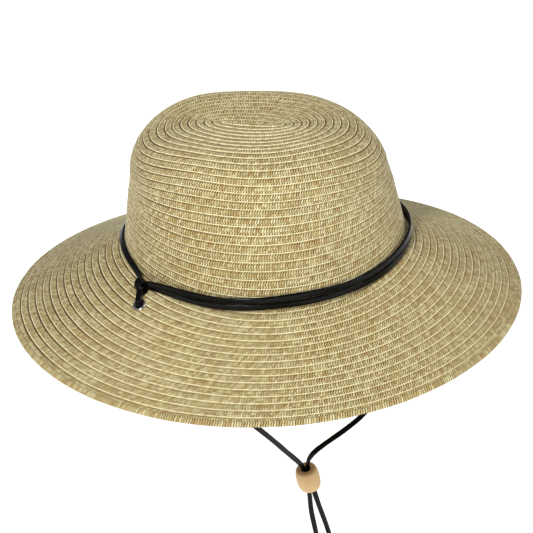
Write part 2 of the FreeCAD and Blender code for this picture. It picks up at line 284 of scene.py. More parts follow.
def swept(name, line, across, sections, closed_path=False, along=None):
    """A skin along a line. across is each point's width direction and sections holds each
    point's section."""
    tangent = np.gradient(line, axis=0)
    if closed_path:
        tangent = np.roll(line, -1, axis=0) - np.roll(line, 1, axis=0)
    tangent = unit(tangent)
    across = unit(across - (across * tangent).sum(1)[:, None] * tangent)
    out = np.cross(tangent, across)
    rings = (line[:, None, :] + sections[..., :1] * across[:, None, :]
             + sections[..., 1:] * out[:, None, :])
    if along is None:
        along = lengths_along(line)
    size = sections.shape[1]
    share = np.abs(2 * np.arange(size) / size - 1)
    uv = np.stack(np.broadcast_arrays(along[:, None] * MM, share[None, :]), axis=-1)
    return skin(name, rings, uv, closed_path)


def lathe(name, outline, placement, segments=64):
    """The ring or barrel that a closed outline of (radius, height) pairs makes."""
    outline = np.array(outline)
    turn = np.arange(segments) / segments * TURN
    rings = np.stack([outline[None, :, 0] * np.cos(turn)[:, None],
                      outline[None, :, 0] * np.sin(turn)[:, None],
                      np.broadcast_to(outline[None, :, 1], (segments, len(outline)))], axis=-1)
    matrix = np.array(placement)
    rings = rings @ matrix[:3, :3].T + matrix[:3, 3]
    return skin(name, rings, None, closed_path=True, smooth_angle=50.0)


# ------------------------------------------------------------------ the braid
def braid(name, start, end, trim=None, seed=1):
    """The braid's spiral between two lengths down the profile, one closed ribbon whose rows
    lap over each other like shingles."""
    phase = np.linspace(start, end, 20000) / ROW_PITCH * TURN
    centre = hat_surface(phase, phase / TURN * ROW_PITCH)
    along = lengths_along(centre)
    columns = int(along[-1] / COLUMN_STEP)
    at = np.linspace(0, along[-1], columns)
    angle = np.interp(at, along, phase)
    down = angle / TURN * ROW_PITCH + wander(at, 23.0, 0.12, seed)

    nudge = 0.004
    place = np.maximum(down, 0.9)
    tangent = hat_surface(angle + nudge, place) - hat_surface(angle - nudge, place)
    slope = hat_surface(angle, place + 0.8) - hat_surface(angle, place - 0.8)
    normal = unit(np.cross(slope, tangent))

    section = np.array(ROW_OUTER + ROW_INNER)
    across = np.broadcast_to(section[:, 0], (columns, len(section))).copy()
    if trim is not None:
        high = np.clip(trim - down, -ROW_HALF + 0.8, ROW_HALF)[:, None]
        across = -ROW_HALF + (across + ROW_HALF) * (high + ROW_HALF) / (2 * ROW_HALF)
    lift = section[:, 1] - ROW_STEP * (0.5 - across / (2 * ROW_HALF))
    lift = lift + wander(at, 11.0, 0.10, seed + 1)[:, None]
    rings = hat_surface(angle[:, None], np.maximum(down[:, None] + across, 0.0))
    rings = rings + normal[:, None, :] * lift[..., None]
    width_share = 0.5 + across / (2 * ROW_HALF)
    first_turn = (down < 0.8 * ROW_PITCH)[:, None]      # nothing lies over its inner edge
    width_share = np.where(first_turn, np.maximum(width_share, 0.45), width_share)
    uv = np.stack(np.broadcast_arrays(at[:, None] * MM, width_share), axis=-1)
    return skin(name, rings, uv, smooth_angle=60.0)


# ------------------------------------------------------------------ material kit
class Nodes:
    """A short way to write a node tree."""

    def __init__(self, name):
        self.material = bpy.data.materials.new(name)
        self.material.use_nodes = True
        self.tree = self.material.node_tree
        self.shader = self.tree.nodes["Principled BSDF"]

    def new(self, kind, **settings):
        node = self.tree.nodes.new(kind)
        for key, value in settings.items():
            setattr(node, key, value)
        return node

    def feed(self, socket, value):
        if isinstance(value, bpy.types.NodeSocket):
            self.tree.links.new(value, socket)
        else:
            socket.default_value = value

    def math(self, operation, *values):
        node = self.new("ShaderNodeMath", operation=operation)
        for socket, value in zip(node.inputs, values):
            self.feed(socket, value)
        return node.outputs[0]

    def uv(self):
        parts = self.new("ShaderNodeSeparateXYZ")
        self.feed(parts.inputs[0], self.new("ShaderNodeUVMap", uv_map="braid").outputs[0])
        return parts.outputs[0], parts.outputs[1]

    def place(self):
        return self.new("ShaderNodeTexCoord").outputs["Object"]

    def joined_vector(self, x, y, z=0.0):
        node = self.new("ShaderNodeCombineXYZ")
        for socket, value in zip(node.inputs, (x, y, z)):
            self.feed(socket, value)
        return node.outputs[0]

    def noise(self, vector, scale, detail=2.0, roughness=0.5):
        node = self.new("ShaderNodeTexNoise")
        self.feed(node.inputs["Vector"], vector)
        node.inputs["Scale"].default_value = scale
        node.inputs["Detail"].default_value = detail
        node.inputs["Roughness"].default_value = roughness
        return node.outputs[0]

    def chance(self, value):
        node = self.new("ShaderNodeTexWhiteNoise", noise_dimensions="1D")
        self.feed(node.inputs["W"], value)
        return node.outputs[0]

    def between(self, value, low, high, out_low=0.0, out_high=1.0, smooth=True):
        node = self.new("ShaderNodeMapRange",
                        interpolation_type="SMOOTHSTEP" if smooth else "LINEAR")
        self.feed(node.inputs["Value"], value)
        node.inputs["From Min"].default_value = low
        node.inputs["From Max"].default_value = high
        node.inputs["To Min"].default_value = out_low
        node.inputs["To Max"].default_value = out_high
        return node.outputs[0]

    def mix(self, share, first, second, blend_type="MIX"):
        node = self.new("ShaderNodeMix", data_type="RGBA", blend_type=blend_type)
        self.feed(node.inputs["Factor"], share)
        colours = [s for s in node.inputs if s.type == "RGBA"]
        for socket, value in zip(colours, (first, second)):
            self.feed(socket, value)
        return [s for s in node.outputs if s.type == "RGBA"][0]

    def bump(self, height, distance, strength=1.0):
        node = self.new("ShaderNodeBump")
        node.inputs["Strength"].default_value = strength
        node.inputs["Distance"].default_value = distance
        self.feed(node.inputs["Height"], height)
        self.feed(self.shader.inputs["Normal"], node.outputs[0])

    def set(self, **inputs):
        for key, value in inputs.items():
            self.feed(self.shader.inputs[key.replace("_", " ")], value)
        return self.material


def colour(red, green, blue):
    return (red, green, blue, 1.0)


PALE_STRAW, STRAW = colour(0.77, 0.685, 0.375), colour(0.53, 0.44, 0.19)
TAN_STRAW, RUST_STRAW = colour(0.44, 0.29, 0.095), colour(0.40, 0.19, 0.045)
# The dark groove colour is painted shade, laid where one row steps over the next.
EDGE_STRAW, GROOVE_SHADE = colour(0.86, 0.79, 0.48), colour(0.13, 0.07, 0.014)
# The front of the hat faces the light, and the painted groove shade fades there.
LIT_FRONT_ANGLE = math.radians(15.0)
LIT_FRONT_SIDE = (math.cos(LIT_FRONT_ANGLE), math.sin(LIT_FRONT_ANGLE))


def straw_material(name, cell, slant, groove, lane, edge):
    """Plaited paper straw. Going across the braid there is painted shade in the groove beside the row
    above, then two lanes of slanting strands, half a strand apart, and a smooth pale edge. Tan and rust
    strands come in short runs. A groove, lane or edge outside 0 to 1 leaves that feature out. Shade
    is also painted between the strands, along the lanes' border and under the edge. Towards the lit
    front of the hat the painted groove shade fades."""
    n = Nodes(name)
    run, across = n.uv()
    second = n.math("GREATER_THAN", across, lane)
    place = n.math("ADD", n.math("MULTIPLY", run, 1.0 / cell), n.math("MULTIPLY", across, slant))
    place = n.math("ADD", place, n.math("MULTIPLY", second, 0.5))
    strand = n.math("ADD", n.math("FLOOR", place), n.math("MULTIPLY", second, 0.37))
    ridge = n.math("SINE", n.math("MULTIPLY", n.math("FRACT", place), math.pi))
    on_edge = n.between(across, edge, edge + 0.03)
    off_edge = n.math("SUBTRACT", 1.0, on_edge)

    tone = n.mix(n.between(n.chance(strand), 0.1, 0.95), STRAW, PALE_STRAW)
    tan_strand = n.between(n.chance(n.math("ADD", strand, 0.53)), 0.78, 0.84, 0.0, 0.75)
    tone = n.mix(tan_strand, tone, TAN_STRAW)
    patch_place = n.joined_vector(n.math("MULTIPLY", run, 300.0), n.math("MULTIPLY", across, 4.5))
    patch = n.between(n.noise(patch_place, 1.0, 2.0, 0.65), 0.54, 0.62, 0.0, 0.7)
    in_patch = n.between(n.chance(n.math("ADD", strand, 0.77)), 0.1, 0.6, 0.35, 1.0)
    tone = n.mix(n.math("MULTIPLY", patch, in_patch), tone, RUST_STRAW)
    cloud = n.noise(n.place(), 24.0, 3.0, 0.6)
    tone = n.mix(n.between(cloud, 0.38, 0.66, 0.0, 0.3), tone, TAN_STRAW)
    edge_run = n.noise(n.joined_vector(n.math("MULTIPLY", run, 260.0), across), 1.0, 2.0, 0.6)
    tone = n.mix(n.math("MULTIPLY", on_edge, n.between(edge_run, 0.35, 0.6, 0.25, 0.9)), tone,
                 EDGE_STRAW)

    # Painted shade in the hollows between the strands. It is deeper for some strands and weak on the
    # edge.
    gap_shade_depth = n.between(n.chance(n.math("ADD", strand, 0.21)), 0.0, 0.8, 0.6, 1.0)
    gap_shade = n.math("MULTIPLY", n.between(ridge, 0.2, 0.8, 0.97, 0.0), gap_shade_depth)
    gap_shade = n.math("MULTIPLY", gap_shade, n.math("ADD", n.math("MULTIPLY", off_edge, 0.8), 0.2))
    # Painted shade along the border between the lanes and in the valley under the edge.
    shade_lines = [(lane, 0.035, 0.35), (edge - 0.012, 0.035, 0.6)]
    shade = n.math("SUBTRACT", 1.0, gap_shade)
    for middle, width, strength in shade_lines:
        away = n.math("ABSOLUTE", n.math("SUBTRACT", across, middle))
        shade = n.math("MULTIPLY", shade, n.between(away, 0.0, width, 1.0 - strength, 1.0))
    fibre_place = n.joined_vector(n.math("MULTIPLY", place, 2.5), n.math("MULTIPLY", across, 30.0))
    fibre = n.noise(fibre_place, 1.0, 2.0, 0.7)
    shade = n.math("MULTIPLY", shade, n.between(fibre, 0.3, 0.7, 0.88, 1.06, smooth=False))
    ragged = n.math("ADD", across, n.math("MULTIPLY", n.math("SUBTRACT", n.noise(
        n.joined_vector(n.math("MULTIPLY", run, 420.0), 0.0), 1.0, 2.0), 0.5), 0.07))
    # How far a point lies towards the lit front, where the painted groove shade fades.
    parts = n.new("ShaderNodeSeparateXYZ")
    n.feed(parts.inputs[0], n.place())
    toward_lit_front = n.math("ADD", n.math("MULTIPLY", parts.outputs[0], LIT_FRONT_SIDE[0]),
                              n.math("MULTIPLY", parts.outputs[1], LIT_FRONT_SIDE[1]))
    groove_shade_fade = n.between(toward_lit_front, 0.0, 0.09, 0.0, 0.68)
    clear = n.math("MAXIMUM", n.between(ragged, *groove), groove_shade_fade)
    grey = n.new("ShaderNodeCombineColor")
    for socket in grey.inputs:
        n.feed(socket, shade)
    # The groove colour is painted shade. It is cleared outside the groove and towards the lit front.
    shaded = n.mix(1.0, tone, n.mix(clear, GROOVE_SHADE, grey.outputs[0]), "MULTIPLY")

    height = n.math("ADD", n.math("MULTIPLY", ridge, n.math("ADD", n.math(
        "MULTIPLY", off_edge, 0.85), 0.15)), n.math("MULTIPLY", fibre, 0.18))
    n.bump(n.math("ADD", height, n.math("MULTIPLY", on_edge, 0.5)), 0.0004, 0.9)
    return n.set(Base_Color=shaded, Roughness=n.between(fibre, 0.3, 0.7, 0.48, 0.66),
                 Specular_IOR_Level=0.3, Sheen_Weight=0.05)


def lace_material(name):
    """Glossy black faux-leather lace with a fine grain and long creases."""
    n = Nodes(name)
    run, across = n.uv()
    grain = n.noise(n.place(), 1500.0, 3.0, 0.6)
    crease_place = n.joined_vector(n.math("MULTIPLY", run, 60.0), n.math("MULTIPLY", across, 5.0))
    crease = n.noise(crease_place, 1.0, 3.0, 0.6)
    tone = n.mix(n.between(crease, 0.35, 0.7), colour(0.0012, 0.0011, 0.0011),
                 colour(0.004, 0.0037, 0.0037))
    height = n.math("ADD", n.math("MULTIPLY", grain, 0.25), crease)
    n.bump(height, 0.0003, 0.5)
    return n.set(Base_Color=tone, Roughness=n.between(crease, 0.3, 0.7, 0.08, 0.2),
                 Specular_IOR_Level=0.2, IOR=1.35)


def metal_material(name, tone, roughness):
    n = Nodes(name)
    marks = n.noise(n.place(), 900.0, 4.0, 0.6)
    n.bump(marks, 0.00004, 0.5)
    return n.set(Base_Color=n.mix(n.between(marks, 0.4, 0.65), tone, colour(
        tone[0] * 0.82, tone[1] * 0.82, tone[2] * 0.83)), Metallic=1.0,
        Roughness=n.between(marks, 0.3, 0.7, roughness, roughness + 0.14))


def wood_material(name, axis_frame):
    """Pale close-grained wood; the grain runs along the bead."""
    n = Nodes(name)
    turned = n.new("ShaderNodeMapping")
    n.feed(turned.inputs["Vector"], n.place())
    turned.inputs["Rotation"].default_value = axis_frame.to_3x3().inverted().to_euler()
    parts = n.new("ShaderNodeSeparateXYZ")
    n.feed(parts.inputs[0], turned.outputs[0])
    x, y, z = parts.outputs
    stretched = n.joined_vector(x, y, n.math("MULTIPLY", z, 0.10))
    rings = n.noise(stretched, 210.0, 2.0, 0.5)
    bands = n.math("SINE", n.math("MULTIPLY", rings, 42.0))
    pores = n.noise(n.joined_vector(x, y, n.math("MULTIPLY", z, 0.06)), 1700.0, 3.0, 0.6)
    tone = n.mix(n.between(bands, -0.8, 1.0), colour(0.60, 0.45, 0.235), colour(0.57, 0.41, 0.205))
    tone = n.mix(n.between(pores, 0.55, 0.72, 0.0, 0.2), tone, colour(0.40, 0.23, 0.095))
    tone = n.mix(n.between(n.noise(n.place(), 70.0), 0.4, 0.7, 0.0, 0.25), tone,
                 colour(0.70, 0.52, 0.30))
    rim = n.between(n.math("ABSOLUTE", z), 0.0075, 0.0098, 0.0, 0.4)
    tone = n.mix(rim, tone, colour(0.60, 0.33, 0.12))
    n.bump(n.math("ADD", pores, n.math("MULTIPLY", bands, 0.1)), 0.00012, 0.5)
    return n.set(Base_Color=tone, Roughness=n.between(pores, 0.3, 0.7, 0.48, 0.62),
                 Specular_IOR_Level=0.35)


def cloth_material(name):
    """Ribbed cotton tape: fine ribs across its length and a faint weave."""
    n = Nodes(name)
    run, across = n.uv()
    ribs = n.math("SINE", n.math("MULTIPLY", run, TURN / 0.0009))
    threads = n.math("SINE", n.math("MULTIPLY", across, TURN * 38.0))
    weave = n.math("ADD", ribs, n.math("MULTIPLY", threads, 0.5))
    wear = n.noise(n.place(), 45.0, 4.0, 0.6)
    tone = n.mix(n.between(wear, 0.35, 0.7), colour(0.60, 0.53, 0.40), colour(0.50, 0.43, 0.31))
    # The weave's low threads are painted darker, as shade in its hollows.
    tone = n.mix(n.between(weave, -1.2, 1.2, 0.25, 0.0), tone, colour(0.30, 0.25, 0.17))
    n.bump(weave, 0.00012, 0.6)
    return n.set(Base_Color=tone, Roughness=0.85, Specular_IOR_Level=0.2, Sheen_Weight=0.25,
                 Sheen_Roughness=0.5)


def thread_material(name):
    n = Nodes(name)
    fuzz = n.noise(n.place(), 2200.0, 2.0, 0.7)
    n.bump(fuzz, 0.0001, 0.6)
    return n.set(Base_Color=n.mix(fuzz, colour(0.62, 0.54, 0.38), colour(0.75, 0.68, 0.52)),
                 Roughness=0.75, Sheen_Weight=0.2)


def dress(piece, material):
    piece.data.materials.clear()
    piece.data.materials.append(material)
    return piece


# ------------------------------------------------------------------ frames on the hat
def brim_frame(angle, reach):
    """The frame on the brim's top face, its Z along the face's outward normal."""
    step = 0.01
    here = brim_point(angle, reach)
    along = brim_point(angle + step, reach) - brim_point(angle - step, reach)
    outward_step = brim_point(angle, reach + step) - brim_point(angle, reach - step)
    normal = unit(np.cross(outward_step, along))
    x = unit(along - normal * (along @ normal))
    matrix = np.eye(4)
    matrix[:3, 0], matrix[:3, 1], matrix[:3, 2] = x, np.cross(normal, x), normal
    matrix[:3, 3] = here
    return matrix


def in_frame(matrix, x, y, z):
    return matrix[:3, :3] @ np.array([x, y, z]) + matrix[:3, 3]


SIDES = {"left": EYELET_ANGLE, "right": EYELET_ANGLE + math.pi}
KNOTS = {"left": KNOT_ANGLE, "right": KNOT_ANGLE + math.pi}
EYELET_FRAMES = {side: brim_frame(angle, EYELET_REACH) for side, angle in SIDES.items()}
# The cord's pivots, under the eyelets, are the CAD's own.
PIVOTS = {"left": np.array([66.584, -86.005, -11.449]), "right": np.array([-66.592, 85.931, -14.640])}
ALONG = unit((PIVOTS["right"] - PIVOTS["left"]) * [1, 1, 0])
ASIDE = np.cross(ALONG, [0, 0, 1])
VIEW_SIDE = np.array([0.87, 0.0, 0.49])     # towards the camera


def cord_point(along, aside, height):
    return ALONG * along + ASIDE * aside + np.array([0, 0, height])


BEAD_TILT = math.radians(12.0)
BEAD_AXIS = ALONG * math.sin(BEAD_TILT) + np.array([0, 0, -math.cos(BEAD_TILT)])
BEAD_SIDE = ALONG * math.cos(BEAD_TILT) + np.array([0, 0, math.sin(BEAD_TILT)])
BEAD_LENGTH = 20.0
BEAD_MIDDLE = cord_point(32.6, -3.5, -224.2)
LACE_OFFSET = 1.75
LACE_HALF_WIDTH, LACE_HALF_THICK = 2.05, 0.9


def bead_point(down, across):
    return BEAD_MIDDLE + BEAD_AXIS * (down - BEAD_LENGTH / 2) + BEAD_SIDE * across


# The chin cord's routes: distances along the upright plane through both eyelets, out of it, and up.
LEFT_LEG = [(-97, 0, -42), (-80, 0, -72), (-59, 0, -101), (-38, 0, -127), (-18, 0, -150.5),
            (-0.5, -0.8, -173), (12.5, -2, -190.5), (23, -3.2, -204)]
RIGHT_LEG = [(112, 2, -42), (114, 7, -76), (111, 13, -110), (101, 18, -139), (88, 19.5, -160),
             (74, 17, -174), (59.8, 10.5, -185), (46.5, 2.8, -195), (36, -2, -202.5)]
LEFT_TAIL = [(34, -3.5, -256.5), (38, -3.5, -278.5), (41.2, -3.5, -298.5)]
RIGHT_TAIL = [(42.8, -3.5, -257.5), (49.8, -3.5, -280.5), (54.8, -3.5, -300.5)]


def nurbs_line(points_mm):
    """The smooth line, in metres, of a NURBS spline with these control points."""
    curve = bpy.data.curves.new("route", "CURVE")
    curve.dimensions = "3D"
    spline = curve.splines.new("NURBS")
    spline.points.add(len(points_mm) - 1)
    for control, point in zip(spline.points, points_mm):
        control.co = (*(np.asarray(point) * MM), 1.0)
    spline.order_u = 3
    spline.use_endpoint_u = True
    spline.resolution_u = 20
    holder = bpy.data.objects.new("route", curve)
    bpy.context.scene.collection.objects.link(holder)
    bpy.context.view_layer.update()
    mesh = bpy.data.meshes.new_from_object(holder)
    line = np.array([v.co for v in mesh.vertices], float)
    bpy.data.objects.remove(holder)
    bpy.data.curves.remove(curve)
    bpy.data.meshes.remove(mesh)
    return line


def lace_sections(along, round_start, thin_from, thin_to, seed):
    """The flat lace's section at each point. It is round where it leaves its eyelet and a
    little narrower inside the bead."""
    flat = rounded_section(LACE_HALF_WIDTH, LACE_HALF_THICK)
    sections = np.repeat(flat[None], len(along), axis=0)
    sections[..., 0] *= 1 + wander(along, 9.0, 0.05, seed)[:, None]
    if round_start:
        share = np.clip(along / 9.0, 0, 1)[:, None, None]
        share = share * share * (3 - 2 * share)
        sections = rounded_section(1.6, 1.6, power=2.0)[None] * (1 - share) + sections * share
    share = np.clip((along - thin_from) / (thin_to - thin_from), 0, 1)[:, None]
    sections[..., 0] *= 1 - 0.19 * share
    sections[..., 1] *= 1 - 0.08 * share
    return sections


def twisted(line, across, angles):
    """The width directions turned about the line."""
    tangent = unit(np.gradient(line, axis=0))
    across = unit(across - (across * tangent).sum(1)[:, None] * tangent)
    out = np.cross(tangent, across)
    return across * np.cos(angles)[:, None] + out * np.sin(angles)[:, None]


def smoothed(value, low, high):
    share = np.clip((value - low) / (high - low), 0, 1)
    return share * share * (3 - 2 * share)


# ------------------------------------------------------------------ materials
straw = straw_material("straw", 0.00175, 1.7, (0.30, 0.42), 0.66, 0.87)
edge_straw = straw_material("edge_straw", FOLD_RIB * MM, FOLD_SLANT, (-2.0, -1.0), 0.22, 3.0)
lace = lace_material("lace")
bright_metal = metal_material("bright_metal", colour(0.5, 0.5, 0.49), 0.12)
wire_metal = metal_material("wire_metal", colour(0.55, 0.56, 0.57), 0.3)
cloth = cloth_material("cloth")
thread = thread_material("thread")

# ------------------------------------------------------------------ crown and brim
whole_rows = math.floor((CREASE + SPLIT_TURN * ROW_PITCH) / ROW_PITCH)
split = (whole_rows + SPLIT_TURN) * ROW_PITCH
crown = dress(braid("crown_spiral", SPIRAL_START, split, seed=5), straw)
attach(crown, "hat")
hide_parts("crown_braid")

brim = braid("brim_spiral", split, BRIM_END + ROW_PITCH, trim=BRIM_END + 1.2, seed=9)
dress(brim, straw)
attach(brim, "hat")
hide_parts("brim_braid")


def edge_row():
    """The folded last row: a flat fold over the wire, under the lip of the row before it, ribbed by
    its slanting strands."""
    outline = np.array([(74.9, -1.02), (76.5, -0.95), (77.3, -0.45), (78.6, -0.22), (80.0, -0.25),
                        (80.9, -0.55), (81.4, -1.1), (81.4, -1.75), (80.8, -2.25), (79.2, -2.5),
                        (77.2, -2.45), (75.2, -2.3), (74.7, -1.6)])
    columns = 2800
    turn = np.repeat((np.arange(columns) / columns * TURN)[:, None], len(outline), axis=1)
    line = brim_point(turn[:, 0], 79.0)
    along = lengths_along(line)
    total = along[-1] + along[1]
    run = along * round(total / FOLD_RIB) * FOLD_RIB / total
    share = np.arange(len(outline)) / len(outline)
    wave = np.sin(math.pi * ((run[:, None] / FOLD_RIB + share * FOLD_SLANT) % 1.0))
    away = unit(outline - [78.3, -1.3])
    swell = 0.16 * (wave - 0.6) + wander(along, 14.0, 0.10, 31)[:, None]
    points = brim_point(turn, outline[:, 0] + away[:, 0] * swell, outline[:, 1] + away[:, 1] * swell)
    uv = np.stack(np.broadcast_arrays(run[:, None] * MM, share[None, :]), axis=-1)
    return skin("brim_edge_fold", points, uv, closed_path=True, smooth_angle=70.0)


fold = dress(edge_row(), edge_straw)
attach(fold, "hat")
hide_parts("brim_edge_braid")
wire_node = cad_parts["brim_edge_wire"]
wire_node.data.materials.clear()
wire_node.data.materials.append(wire_metal)


# ------------------------------------------------------------------ sweatband
SWEATBAND_HEIGHT, SWEATBAND_FOOT = 27.0, 1.8
SWEATBAND_OUTER, SWEATBAND_INNER = 2.32, 3.2    # how far its two faces are inside the crown's


def sweatband_point(angle, up, inset):
    height = base_height(angle) * (1 - up / SIDE_TOP) + SWEATBAND_FOOT + up
    return leaned(oval(angle, side_half_width(height) - inset, height))


def sweatband_ring(angle, along):
    """The sweatband's section at each angle: up its outer face and down its inner one, which
    has a thicker hem at both edges."""
    ups = np.array([0.0, 1.0, 2.6, 4.0, 8.0, 13.0, 18.0, 22.0, 23.2, 26.4, SWEATBAND_HEIGHT])
    up = np.concatenate([ups, ups[::-1]])
    inset = np.repeat([SWEATBAND_OUTER, SWEATBAND_INNER], len(ups))
    hem = np.where((inset > SWEATBAND_OUTER) & ((up > 22.5) | (up < 3.0)), 0.22, 0.0)
    slack = wander(along, 21.0, 0.25, 41)[:, None] * np.sin(up / SWEATBAND_HEIGHT * math.pi)[None, :]
    ease = np.clip(slack, 0.0, None)
    points = sweatband_point(angle[:, None], up[None, :], inset[None, :] + hem[None, :] + ease)
    uv = np.stack(np.broadcast_arrays(along[:, None] * MM, up[None, :] / SWEATBAND_HEIGHT), axis=-1)
    return points, uv


def make_sweatband():
    columns = 420
    angle = np.arange(columns) / columns * TURN
    line = sweatband_point(angle, 13.0, 3.0)
    along = lengths_along(line)
    points, uv = sweatband_ring(angle, along)
    return skin("sweatband_tape", points, uv, closed_path=True, smooth_angle=60.0)


def stitch_row(name, point_at, count, length, radius):
    """Short thread stitches round the hat; point_at gives the place for an angle."""
    rings, faces = [], []
    sides = 6
    profile = [(-0.5, 0.25), (-0.32, 0.8), (0.0, 1.0), (0.32, 0.8), (0.5, 0.25)]
    for k in range(count):
        angle = TURN * k / count
        here = point_at(angle)
        ahead = unit(point_at(angle + 0.002) - here)
        outward_way = unit(here * [1, 1, 0])
        up = np.cross(outward_way, ahead)
        first = len(rings) * sides
        for offset, size in profile:
            turn = np.arange(sides) / sides * TURN
            ring = (here + ahead * offset * length
                    + np.cos(turn)[:, None] * outward_way * radius * size
                    + np.sin(turn)[:, None] * up * radius * size)
            rings.append(ring)
        block = grid_faces(len(profile), sides, False) + first
        faces += block.tolist()
        faces.append([first + i for i in range(sides)][::-1])
        faces.append([first + (len(profile) - 1) * sides + i for i in range(sides)])
    return outward(make_object(name, np.concatenate(rings), faces))


tape = dress(make_sweatband(), cloth)
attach(tape, "hat")
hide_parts("sweatband")
tape_stitches = stitch_row("sweatband_stitches", lambda a: sweatband_point(np.array(a), 2.0, 3.45),
                           190, 2.3, 0.28)
dress(tape_stitches, thread)
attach(tape_stitches, "hat")


# ------------------------------------------------------------------ hatband, knots, eyelets
def band_sections(along, seed):
    """The lace round the crown, with its two long creases."""
    flat = rounded_section(2.15, 0.98, count=24)
    crease_depth, crease_width = 0.16, 0.28
    creases = [np.exp(-((flat[:, 0] - middle) / crease_width) ** 2) for middle in (0.75, -0.8)]
    flat[:, 1] -= np.sign(flat[:, 1]) * (crease_depth * (creases[0] + creases[1]))
    sections = np.repeat(flat[None], len(along), axis=0)
    sections[..., 0] *= 1 + wander(along, 17.0, 0.05, seed)[:, None]
    return sections


def band_strand(name, start, end, height, lean_in, peel_length, swell, seed):
    """A strand of the lace between two knots, lying against the crown's foot and coming off it
    towards the knots. A strand that leans in has its upper edge on the crown and its lower edge
    out on the brim. The swell is how far it has slid up the crown ahead of its middle, and half
    as far out from it behind."""
    angle = np.linspace(start, end, 420)
    at_ends = np.minimum(np.abs(angle - start), np.abs(end - angle)) * FOOT_RADIUS
    peel = np.exp(-at_ends / peel_length)
    share = (angle - start) / (end - start)
    slid_up = swell * np.exp(-((share - 0.35) / 0.14) ** 2)
    slack = swell / 2 * np.exp(-((share - 0.78) / 0.15) ** 2)
    out = 1.35 + 0.9 * math.sin(lean_in) + PEEL_OUT * peel + slack
    rough = np.linspace(0, (end - start) * FOOT_RADIUS, len(angle))
    height = height + (KNOT_LIFT - height) * 0.7 * peel + slid_up - BRIM_FALL * slack
    height = height + wander(rough, 27.0, 0.35, seed)
    z = base_height(angle) + height - BRIM_FALL * PEEL_OUT * peel
    line = leaned(oval(angle, side_half_width(z) + out, z))
    upper = leaned(oval(angle, side_half_width(z + 1) + out, z + 1.0)) - line
    tilt = wander(rough, 31.0, 0.14, seed + 1) - lean_in
    across = twisted(line, upper, tilt)
    return swept(name, line, across, band_sections(rough, seed + 2))


FOOT_RADIUS = 93.0          # the crown's foot, to turn angles into lengths along the lace
PEEL_OUT = KNOT_REACH - 1.5
BRIM_FALL = 0.47            # the brim falls this much for each step out from the crown
LOW_STRAND, HIGH_STRAND = 2.6, 7.5
BACK_LEAN = math.radians(32.0)
near_side = (KNOTS["left"], KNOTS["right"])
far_side = (KNOTS["right"], KNOTS["left"] + TURN)
strands = {
    "hatband_lower": (*near_side, LOW_STRAND, 0.0, 16.0, 4.2, 51),
    "hatband_upper": (*near_side, HIGH_STRAND, 0.0, 16.0, 4.8, 57),
    "hatband_back": (*far_side, LOW_STRAND + 0.3, BACK_LEAN, 8.0, 0.0, 63),
}
for node, placing in strands.items():
    strand = band_strand(node + "_lace", *placing)
    dress(strand, lace)
    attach(strand, "hat")
    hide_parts(node)


def knot_axes(angle):
    radial = np.array([math.cos(angle), math.sin(angle), 0.0])
    tangent = np.array([-math.sin(angle), math.cos(angle), 0.0])
    return radial, tangent, np.array([0.0, 0.0, 1.0])


def wrap_line(centre, axes, turns, radial_half, tall_half, pitch, lean, start_turn):
    radial, tangent, up = axes
    turn = np.linspace(0, turns * TURN, int(turns * 40))
    shift = pitch * (turn / TURN - turns / 2)
    turn = turn + start_turn
    return (centre + np.cos(turn)[:, None] * radial * radial_half
            + np.sin(turn)[:, None] * (up * tall_half + tangent * lean)
            + shift[:, None] * tangent)


def lace_knot(name, angle):
    """The knot at the crown's foot: the lace wound round both strands and pulled tight, with one
    slanting wrap over the others."""
    centre = brim_point(angle, KNOT_REACH) + [0, 0, KNOT_LIFT]
    axes = knot_axes(angle)
    wraps = []
    shapes = [(2.4, 2.8, 4.0, 2.7, 0.5, -1.9, 1.8), (1.3, 3.6, 4.2, 0.8, -2.2, -2.3, 1.7)]
    for k, (turns, radial_half, tall_half, pitch, lean, start, width) in enumerate(shapes):
        line = wrap_line(centre, axes, turns, radial_half, tall_half, pitch, lean, start)
        across = np.repeat(axes[1][None], len(line), axis=0)
        flat = rounded_section(width, 0.85)
        wraps.append(swept(f"{name}_{k}", line, across, np.repeat(flat[None], len(line), axis=0)))
    return joined(name, wraps)


for side, angle in KNOTS.items():
    knot = dress(lace_knot(f"knot_{side}", angle), lace)
    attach(knot, "hat")
    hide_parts(f"hatband_knot_{side}")

EYELET_OUTLINE = [(2.2, -2.65), (2.7, -2.7), (2.72, -1.0), (2.75, 0.02), (4.45, 0.02), (4.62, 0.12),
                  (4.68, 0.34), (4.55, 0.62), (4.2, 0.86), (3.7, 0.95), (3.2, 0.9), (2.75, 0.66),
                  (2.4, 0.25), (2.24, -0.4), (2.2, -1.4)]
WASHER_OUTLINE = [(2.72, -2.02), (4.5, -2.02), (4.62, -2.15), (4.6, -2.4), (4.3, -2.62),
                  (3.8, -2.72), (3.2, -2.7), (2.72, -2.55)]
for side, matrix in EYELET_FRAMES.items():
    for node, outline in (("eyelet", EYELET_OUTLINE), ("eyelet_washer", WASHER_OUTLINE)):
        ring = lathe(f"{node}_{side}_ring", outline, matrix)
        dress(ring, bright_metal)
        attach(ring, "hat")
        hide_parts(f"{node}_{side}")


def riser_sections(along, bunch_at):
    """The lace's sections from the knot down into the eyelet: doubled and flat, then bunched
    over the eyelet's bore, and round below it."""
    at = np.array([0.0, bunch_at - 4.0, bunch_at, bunch_at + 2.2, bunch_at + 4.5])
    half_width = np.interp(along, at, [2.5, 2.2, 2.5, 2.0, 1.55])[:, None]
    half_thick = np.interp(along, at, [1.2, 1.3, 2.2, 2.0, 1.55])[:, None]
    power = np.interp(along, at, [3.2, 3.0, 2.3, 2.0, 2.0])
    sections = np.stack([rounded_section(1.0, 1.0, power=value) for value in power])
    sections[..., 0] *= half_width
    sections[..., 1] *= half_thick
    return sections


